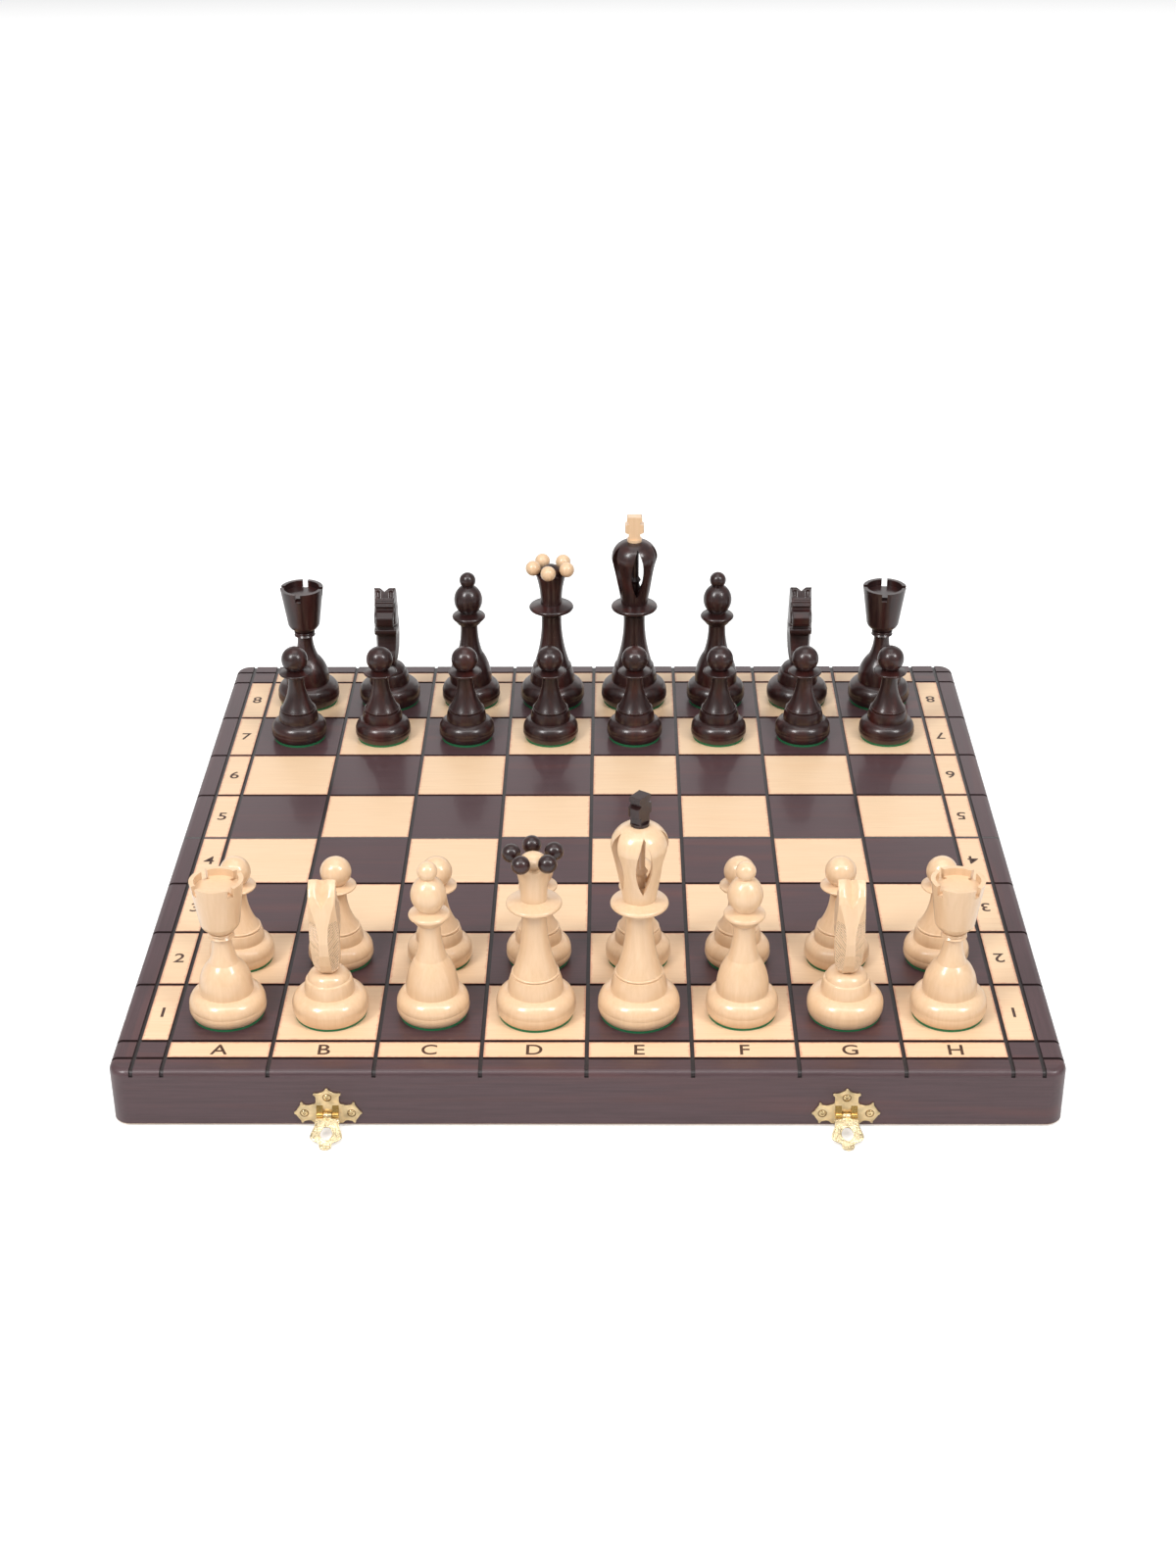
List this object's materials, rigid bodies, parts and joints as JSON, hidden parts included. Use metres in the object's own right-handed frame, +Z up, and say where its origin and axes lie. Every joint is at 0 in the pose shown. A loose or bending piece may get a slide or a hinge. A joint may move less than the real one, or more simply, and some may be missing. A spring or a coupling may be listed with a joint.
{
  "type": "folding chess set",
  "caption": "Folding wooden chess box open as a board with lettered border, brass clasps and a full set of turned, felted chessmen on their starting squares.",
  "frame": {"origin": "on the table, under the middle of the set's outline in plan with the hasps leaning out in front", "axes": "+X along the ranks from the a-file to the h-file, +Y away from White towards Black, +Z up"},
  "size_m": [0.42, 0.4432, 0.1408],
  "materials": {
    "stained_wood": "satin",
    "maple_veneer": "satin",
    "pale_lacquered_wood": "gloss",
    "dark_lacquered_wood": "gloss",
    "brass": "polished"
  },
  "bodies": {
    "near_half": {"clasp_nails": "brass", "clasp_pins": "brass", "clasp_plates": "brass", "hinge_pins": "brass", "near_front_rail": "stained_wood", "near_hinge_leaves": "brass", "near_hinge_rail": "stained_wood", "near_hinge_screws": "brass", "near_left_rail": "stained_wood", "near_light_veneers": "maple_veneer", "near_panel": "stained_wood", "near_right_rail": "stained_wood"},
    "far_half": {"far_back_rail": "stained_wood", "far_hinge_leaves": "brass", "far_hinge_rail": "stained_wood", "far_hinge_screws": "brass", "far_left_rail": "stained_wood", "far_light_veneers": "maple_veneer", "far_panel": "stained_wood", "far_right_rail": "stained_wood", "keeper_nails": "brass", "keepers": "brass"},
    "left_hasp": {"left_hasp": "brass"},
    "right_hasp": {"right_hasp": "brass"},
    "black_bishop_c": {"black_bishop_c": "dark_lacquered_wood"},
    "black_bishop_f": {"black_bishop_f": "dark_lacquered_wood"},
    "black_king": {"black_king": "dark_lacquered_wood", "black_king_finial": "pale_lacquered_wood"},
    "black_knight_b": {"black_knight_b": "dark_lacquered_wood"},
    "black_knight_g": {"black_knight_g": "dark_lacquered_wood"},
    "black_pawn_a": {"black_pawn_a": "dark_lacquered_wood"},
    "black_pawn_b": {"black_pawn_b": "dark_lacquered_wood"},
    "black_pawn_c": {"black_pawn_c": "dark_lacquered_wood"},
    "black_pawn_d": {"black_pawn_d": "dark_lacquered_wood"},
    "black_pawn_e": {"black_pawn_e": "dark_lacquered_wood"},
    "black_pawn_f": {"black_pawn_f": "dark_lacquered_wood"},
    "black_pawn_g": {"black_pawn_g": "dark_lacquered_wood"},
    "black_pawn_h": {"black_pawn_h": "dark_lacquered_wood"},
    "black_queen": {"black_queen": "dark_lacquered_wood", "black_queen_balls": "pale_lacquered_wood"},
    "black_rook_a": {"black_rook_a": "dark_lacquered_wood"},
    "black_rook_h": {"black_rook_h": "dark_lacquered_wood"},
    "white_bishop_c": {"white_bishop_c": "pale_lacquered_wood"},
    "white_bishop_f": {"white_bishop_f": "pale_lacquered_wood"},
    "white_king": {"white_king": "pale_lacquered_wood", "white_king_finial": "dark_lacquered_wood"},
    "white_knight_b": {"white_knight_b": "pale_lacquered_wood"},
    "white_knight_g": {"white_knight_g": "pale_lacquered_wood"},
    "white_pawn_a": {"white_pawn_a": "pale_lacquered_wood"},
    "white_pawn_b": {"white_pawn_b": "pale_lacquered_wood"},
    "white_pawn_c": {"white_pawn_c": "pale_lacquered_wood"},
    "white_pawn_d": {"white_pawn_d": "pale_lacquered_wood"},
    "white_pawn_e": {"white_pawn_e": "pale_lacquered_wood"},
    "white_pawn_f": {"white_pawn_f": "pale_lacquered_wood"},
    "white_pawn_g": {"white_pawn_g": "pale_lacquered_wood"},
    "white_pawn_h": {"white_pawn_h": "pale_lacquered_wood"},
    "white_queen": {"white_queen": "pale_lacquered_wood", "white_queen_balls": "dark_lacquered_wood"},
    "white_rook_a": {"white_rook_a": "pale_lacquered_wood"},
    "white_rook_h": {"white_rook_h": "pale_lacquered_wood"}
  },
  "joints": [
    {"name": "fold", "type": "hinge", "parent": "near_half", "child": "far_half", "pos_m": [0, 0.007, 0.0012], "axis": [1, 0, 0], "range_deg": [-180, 0]},
    {"name": "hasp_left_swing", "type": "hinge", "parent": "near_half", "child": "left_hasp", "pos_m": [-0.114, -0.2055, 0.0077], "axis": [-1, 0, 0], "range_deg": [-65.45, 100]},
    {"name": "hasp_right_swing", "type": "hinge", "parent": "near_half", "child": "right_hasp", "pos_m": [0.114, -0.2055, 0.0077], "axis": [-1, 0, 0], "range_deg": [-65.45, 100]},
    {"name": "lift_black_bishop_c", "type": "slide", "parent": "far_half", "child": "black_bishop_c", "axis": [0, 0, 1], "range_m": [0, 0.12]},
    {"name": "lift_black_bishop_f", "type": "slide", "parent": "far_half", "child": "black_bishop_f", "axis": [0, 0, 1], "range_m": [0, 0.12]},
    {"name": "lift_black_king", "type": "slide", "parent": "far_half", "child": "black_king", "axis": [0, 0, 1], "range_m": [0, 0.12]},
    {"name": "lift_black_knight_b", "type": "slide", "parent": "far_half", "child": "black_knight_b", "axis": [0, 0, 1], "range_m": [0, 0.12]},
    {"name": "lift_black_knight_g", "type": "slide", "parent": "far_half", "child": "black_knight_g", "axis": [0, 0, 1], "range_m": [0, 0.12]},
    {"name": "lift_black_pawn_a", "type": "slide", "parent": "far_half", "child": "black_pawn_a", "axis": [0, 0, 1], "range_m": [0, 0.12]},
    {"name": "lift_black_pawn_b", "type": "slide", "parent": "far_half", "child": "black_pawn_b", "axis": [0, 0, 1], "range_m": [0, 0.12]},
    {"name": "lift_black_pawn_c", "type": "slide", "parent": "far_half", "child": "black_pawn_c", "axis": [0, 0, 1], "range_m": [0, 0.12]},
    {"name": "lift_black_pawn_d", "type": "slide", "parent": "far_half", "child": "black_pawn_d", "axis": [0, 0, 1], "range_m": [0, 0.12]},
    {"name": "lift_black_pawn_e", "type": "slide", "parent": "far_half", "child": "black_pawn_e", "axis": [0, 0, 1], "range_m": [0, 0.12]},
    {"name": "lift_black_pawn_f", "type": "slide", "parent": "far_half", "child": "black_pawn_f", "axis": [0, 0, 1], "range_m": [0, 0.12]},
    {"name": "lift_black_pawn_g", "type": "slide", "parent": "far_half", "child": "black_pawn_g", "axis": [0, 0, 1], "range_m": [0, 0.12]},
    {"name": "lift_black_pawn_h", "type": "slide", "parent": "far_half", "child": "black_pawn_h", "axis": [0, 0, 1], "range_m": [0, 0.12]},
    {"name": "lift_black_queen", "type": "slide", "parent": "far_half", "child": "black_queen", "axis": [0, 0, 1], "range_m": [0, 0.12]},
    {"name": "lift_black_rook_a", "type": "slide", "parent": "far_half", "child": "black_rook_a", "axis": [0, 0, 1], "range_m": [0, 0.12]},
    {"name": "lift_black_rook_h", "type": "slide", "parent": "far_half", "child": "black_rook_h", "axis": [0, 0, 1], "range_m": [0, 0.12]},
    {"name": "lift_white_bishop_c", "type": "slide", "parent": "near_half", "child": "white_bishop_c", "axis": [0, 0, 1], "range_m": [0, 0.12]},
    {"name": "lift_white_bishop_f", "type": "slide", "parent": "near_half", "child": "white_bishop_f", "axis": [0, 0, 1], "range_m": [0, 0.12]},
    {"name": "lift_white_king", "type": "slide", "parent": "near_half", "child": "white_king", "axis": [0, 0, 1], "range_m": [0, 0.12]},
    {"name": "lift_white_knight_b", "type": "slide", "parent": "near_half", "child": "white_knight_b", "axis": [0, 0, 1], "range_m": [0, 0.12]},
    {"name": "lift_white_knight_g", "type": "slide", "parent": "near_half", "child": "white_knight_g", "axis": [0, 0, 1], "range_m": [0, 0.12]},
    {"name": "lift_white_pawn_a", "type": "slide", "parent": "near_half", "child": "white_pawn_a", "axis": [0, 0, 1], "range_m": [0, 0.12]},
    {"name": "lift_white_pawn_b", "type": "slide", "parent": "near_half", "child": "white_pawn_b", "axis": [0, 0, 1], "range_m": [0, 0.12]},
    {"name": "lift_white_pawn_c", "type": "slide", "parent": "near_half", "child": "white_pawn_c", "axis": [0, 0, 1], "range_m": [0, 0.12]},
    {"name": "lift_white_pawn_d", "type": "slide", "parent": "near_half", "child": "white_pawn_d", "axis": [0, 0, 1], "range_m": [0, 0.12]},
    {"name": "lift_white_pawn_e", "type": "slide", "parent": "near_half", "child": "white_pawn_e", "axis": [0, 0, 1], "range_m": [0, 0.12]},
    {"name": "lift_white_pawn_f", "type": "slide", "parent": "near_half", "child": "white_pawn_f", "axis": [0, 0, 1], "range_m": [0, 0.12]},
    {"name": "lift_white_pawn_g", "type": "slide", "parent": "near_half", "child": "white_pawn_g", "axis": [0, 0, 1], "range_m": [0, 0.12]},
    {"name": "lift_white_pawn_h", "type": "slide", "parent": "near_half", "child": "white_pawn_h", "axis": [0, 0, 1], "range_m": [0, 0.12]},
    {"name": "lift_white_queen", "type": "slide", "parent": "near_half", "child": "white_queen", "axis": [0, 0, 1], "range_m": [0, 0.12]},
    {"name": "lift_white_rook_a", "type": "slide", "parent": "near_half", "child": "white_rook_a", "axis": [0, 0, 1], "range_m": [0, 0.12]},
    {"name": "lift_white_rook_h", "type": "slide", "parent": "near_half", "child": "white_rook_h", "axis": [0, 0, 1], "range_m": [0, 0.12]}
  ]
}
